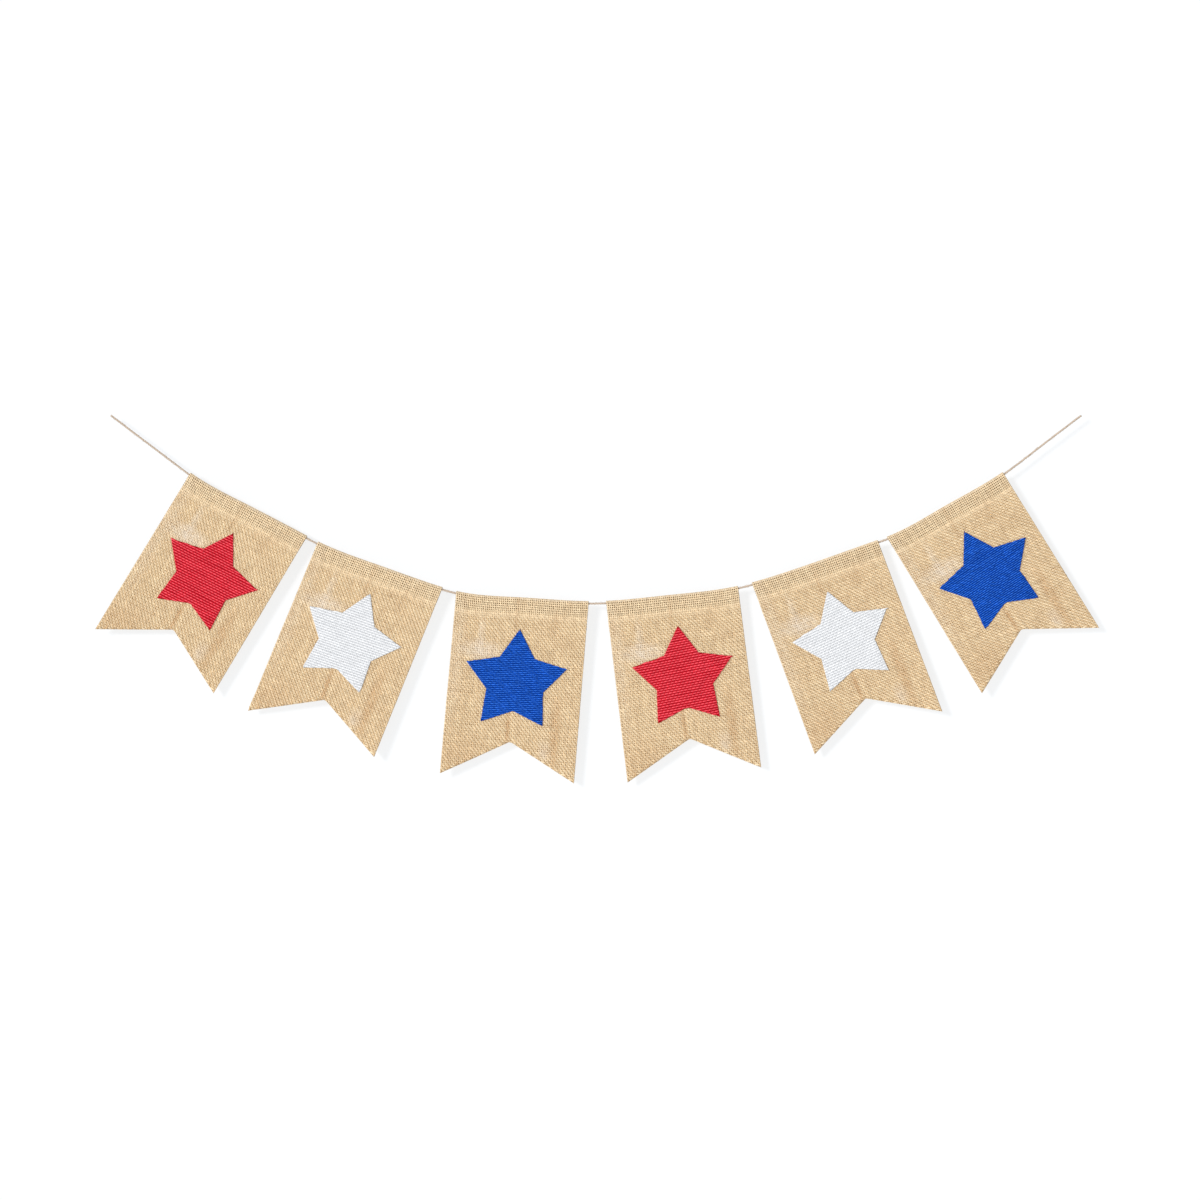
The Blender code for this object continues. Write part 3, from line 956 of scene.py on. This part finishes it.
def make_twine(route, material):
    """Three plies laid round the route, with their loose fibres."""
    mesh = ThreadMesh(PLY_SIDES)
    middle, distance, up = along_twine(route)
    flat = np.stack([distance, np.zeros(len(distance))], 1)
    wide, high = 2 * PLY_RADIUS, 2 * PLY_FLATNESS * PLY_RADIUS
    for ply in range(PLIES):
        turn = 2 * math.pi * (distance / PLY_TURN + ply / PLIES)
        cos, sin = np.cos(turn)[:, None], np.sin(turn)[:, None]
        outward = cos * up + sin * TO_FRONT
        sideways = -sin * up + cos * TO_FRONT
        mesh.add(middle + PLY_OFFSET * outward, sideways, outward, wide, high, flat)
    twine = dress(mesh.build("jute_twine", material), "twine", "twine")
    lint = dress(make_twine_lint(middle, material), "twine")


def make_twine_lint(middle, material):
    """Loose fibres that leave the twine along it."""
    rng = np.random.default_rng(SEED)
    mesh = ThreadMesh(LINT_SIDES)
    t = np.linspace(0, 1, TWINE_LINT_STEPS + 1)[:, None]
    flat = np.zeros((len(t), 2))
    for _ in range(TWINE_LINT):
        i = rng.integers(2, len(middle) - 3)
        along = middle[i + 1] - middle[i]
        along /= np.linalg.norm(along)
        away = rng.standard_normal(3)
        away -= away @ along * along
        away /= np.linalg.norm(away)
        length = rng.uniform(*TWINE_LINT_LENGTH) * MM
        lift = rng.uniform(0.0, 1.0) ** 2 * TWINE_LINT_LIFT
        way = 1 if rng.random() < 0.5 else -1
        risen = TWINE_LINT_ROOT + lift * np.sqrt(t)
        places = middle[i] + away * risen + way * along * length * t
        side = np.broadcast_to(np.cross(along, away), places.shape)
        out = np.broadcast_to(away, places.shape)
        mesh.add(places, side, out, TWINE_LINT_THICK, TWINE_LINT_THICK, flat)
    return mesh.build("twine_lint", material)


def make_stitches(name, cloth, material):
    """A line of lock stitches, which shows on the pocket's front and on the flap behind."""
    mesh = ThreadMesh(STITCH_SIDES)
    rise = np.array(STITCH_RISE) * (CLOTH / 2 + STITCH_THICK / 4)
    step = np.array(STITCH_STEPS)
    count = int((TOP_WIDTH - 2 * STITCH_START) / STITCH_PITCH)
    for line, shift in ((STITCH_LINE, 0.0), (FLAP_END + SEAM_END - STITCH_LINE, 0.5)):
        for k in range(count):
            x = -TOP_WIDTH / 2 + STITCH_START + (k + shift) * STITCH_PITCH + STITCH * step
            flat = np.stack([x, np.full(len(x), line)], 1)
            places, _, ahead, out = cloth.place(*flat.T, rise)
            mesh.add(places, ahead, out, STITCH_THICK, STITCH_THICK, flat)
    return mesh.build(name, material)


def make_lint(name, cloth, rng, material):
    """Loose fibres that curl off both faces and the cut edges."""
    mesh = ThreadMesh(LINT_SIDES)
    t = np.linspace(0, 1, LINT_STEPS + 1)
    low, high = cloth.outline.min(0), cloth.outline.max(0)
    while len(mesh.strands) < LINT_EACH_PENNANT:
        x, y = rng.uniform(low, high)
        spans = spans_at(cloth.outline, 1, y)
        if not any(start < x < end for (start, _), (end, _) in spans):
            continue
        if rng.random() < LINT_AT_EDGES:
            start, end = spans[rng.integers(len(spans))]
            x = rng.choice([start[0], end[0]])
        face = 1 if rng.random() < LINT_IN_FRONT else -1
        heading = rng.uniform(0, 2 * math.pi) + rng.uniform(-LINT_CURL, LINT_CURL) * t
        step = rng.uniform(*LINT_LENGTH) * MM / LINT_STEPS
        xs = x + step * np.concatenate([[0], np.cumsum(np.cos(heading[1:]))])
        ys = y + step * np.concatenate([[0], np.cumsum(np.sin(heading[1:]))])
        arch = np.sin(math.pi * t * LINT_ARCH)
        height = face * (LINT_ROOT + rng.uniform(*LINT_RISE) * arch) * MM
        xs = xs.clip(low[0] - LINT_PAST_SIDE, high[0] + LINT_PAST_SIDE)
        flat = np.stack([xs, ys.clip(low[1], high[1])], 1)
        places, _, ahead, out = cloth.place(*flat.T, height)
        mesh.add(places, ahead, out, LINT_THICK, LINT_THICK, flat)
    return mesh.build(name, material)


def make_pennant(number, cloth, materials, rng):
    sheet = pennant_sheet(f"burlap_{number}", cloth, materials["haze"])
    dress(sheet, "burlap", f"pennant_{number}")
    (threads,) = weave(cloth, BURLAP_WARP, BURLAP_WEFT, rng)
    woven = threads.build(f"burlap_weave_{number}", materials["burlap"])
    dress(woven, "burlap", f"pennant_{number}")
    seam = dress(make_stitches(f"pocket_seam_{number}", cloth, materials["stitch"]), "burlap")
    lint = dress(make_lint(f"lint_{number}", cloth, rng, materials["fibre"]), "burlap")


def make_star(number, cloth, materials, rng):
    colour = cloth.pennant.star
    star = StarCloth(cloth)
    slot, node = f"{colour}_cloth", f"star_{number}"
    sheet = dress(star_sheet(f"star_cloth_{number}", star, materials[colour][1]), slot, node)
    for part, threads in zip(("warp", "ribs"), weave(star, *STAR_WEAVES[colour], rng)):
        piece = threads.build(f"star_{part}_{number}", materials[colour][0])
        dress(piece, slot, node)


# --- Stage ---


def make_backdrop():
    """A white wall bent forward into a pale floor, clear when seen from behind."""
    turn = np.linspace(0, math.pi / 2, BEND_POINTS)
    forward, up = WALL_BEND * (1 - np.cos(turn)), WALL_BEND * (1 - np.sin(turn))
    profile = [(WALL_Y, WALL_TOP), *zip(WALL_Y - forward, FLOOR_Z + up), (-FLOOR_REACH, FLOOR_Z)]
    points = [(x, y, z) for y, z in profile for x in (-FLOOR_REACH, FLOOR_REACH)]
    faces = [(2 * i, 2 * i + 2, 2 * i + 3, 2 * i + 1) for i in range(len(profile) - 1)]
    data = bpy.data.meshes.new("backdrop")
    data.from_pydata(points, [], faces)
    data.shade_smooth()
    nodes = Nodes("backdrop", 1.0, specular=0.0)
    nodes.shader.inputs["Base Color"].default_value = WALL_COLOUR
    nodes.shader.inputs["Emission Color"].default_value = WALL_GLOW_COLOUR
    nodes.shader.inputs["Emission Strength"].default_value = WALL_GLOW
    clear = nodes.add("ShaderNodeBsdfTransparent")
    behind = nodes.add("ShaderNodeNewGeometry", "Backfacing")
    sides = {0: behind, 1: nodes.shader.outputs[0], 2: clear}
    both = nodes.add("ShaderNodeMixShader", inputs=sides)
    nodes.put(nodes.tree.nodes["Material Output"].inputs["Surface"], both)
    new_object("backdrop", data, nodes.material)


def make_light():
    """A key light whose shadows fall as the photo's do, and an even white sky."""
    data = bpy.data.lights.new("key", "SUN")
    data.energy = KEY_STRENGTH
    data.angle = KEY_SPREAD
    key = bpy.data.objects.new("key", data)
    bpy.context.collection.objects.link(key)
    key.rotation_mode = "QUATERNION"
    key.rotation_quaternion = Vector((SHADOW_RIGHT, WALL_Y, -SHADOW_DOWN)).to_track_quat("-Z", "Y")
    world = bpy.data.worlds.new("studio")
    bpy.context.scene.world = world
    world.use_nodes = True
    tree = world.node_tree
    path = tree.nodes.new("ShaderNodeLightPath")
    strength = tree.nodes.new("ShaderNodeMapRange")
    strength.inputs["To Min"].default_value = SKY_STRENGTH
    strength.inputs["To Max"].default_value = SKY_SEEN
    sky = tree.nodes["Background"]
    sky.inputs["Color"].default_value = (1.0, 1.0, 1.0, 1.0)
    tree.links.new(path.outputs["Is Camera Ray"], strength.inputs["Value"])
    tree.links.new(strength.outputs[0], sky.inputs["Strength"])


def make_camera():
    lens = bpy.data.cameras.new("camera")
    lens.lens = LENS
    lens.sensor_width = SENSOR
    lens.clip_end = VIEW_DEPTH
    camera = bpy.data.objects.new("camera", lens)
    camera.location = (VIEW_X, -VIEW_WIDTH * LENS / SENSOR, VIEW_Z)
    camera.rotation_euler = (math.radians(90), 0.0, 0.0)
    bpy.context.collection.objects.link(camera)
    bpy.context.scene.camera = camera
    bpy.context.scene.view_settings.view_transform = "Standard"


# --- The bunting ---


def make_bunting():
    route = SmoothRoute(TWINE_ROUTE)
    make_twine(route, single_thread("jute_twine", TWINE_COLOUR, TWINE_FIBRES))
    materials = {
        "burlap": burlap_threads(),
        "haze": burlap_haze(),
        "stitch": single_thread("sewing_thread", STITCH_COLOUR, FINE_FIBRES),
        "fibre": single_thread("loose_fibre", FIBRE_COLOUR, FINE_FIBRES),
    }
    for colour in STAR_COLOURS:
        materials[colour] = (star_threads(colour), star_haze(colour))
    for number, pennant in enumerate(PENNANTS, start=1):
        rng = np.random.default_rng(SEED + number)
        cloth = PennantCloth(route, pennant)
        make_pennant(number, cloth, materials, rng)
        make_star(number, cloth, materials, rng)


make_camera()
make_bunting()
make_backdrop()
make_light()
